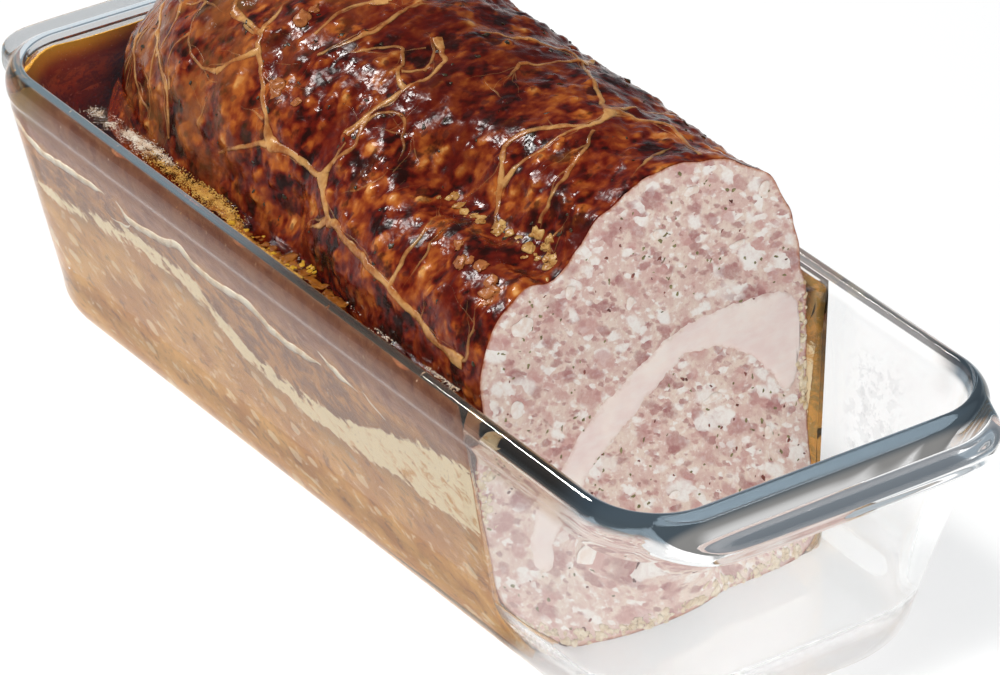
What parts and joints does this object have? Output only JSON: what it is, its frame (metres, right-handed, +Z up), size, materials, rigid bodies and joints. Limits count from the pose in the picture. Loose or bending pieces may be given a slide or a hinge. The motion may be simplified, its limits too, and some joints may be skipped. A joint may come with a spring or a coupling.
{
  "type": "rabbit terrine in a glass loaf dish",
  "caption": "Browned forcemeat loaf wrapped in caul fat, set in aspic in a clear glass loaf dish and cut square across to show its pale fillet.",
  "frame": {"origin": "the middle of the dish's base, where it stands on the table", "axes": "+X along the dish towards its empty end, where the loaf is cut; +Y across the dish, away from the loaf's low shoulder; +Z up"},
  "size_m": [0.2796, 0.1084, 0.1029],
  "materials": {
    "glass": "clear, polished",
    "browned_crust": "glazed",
    "pale_fillet": "moist",
    "aspic": "clear amber jelly"
  },
  "bodies": {
    "root": {"dish": "glass", "loaf": "browned_crust", "fillet": "pale_fillet", "jelly": "aspic"}
  },
  "joints": []
}
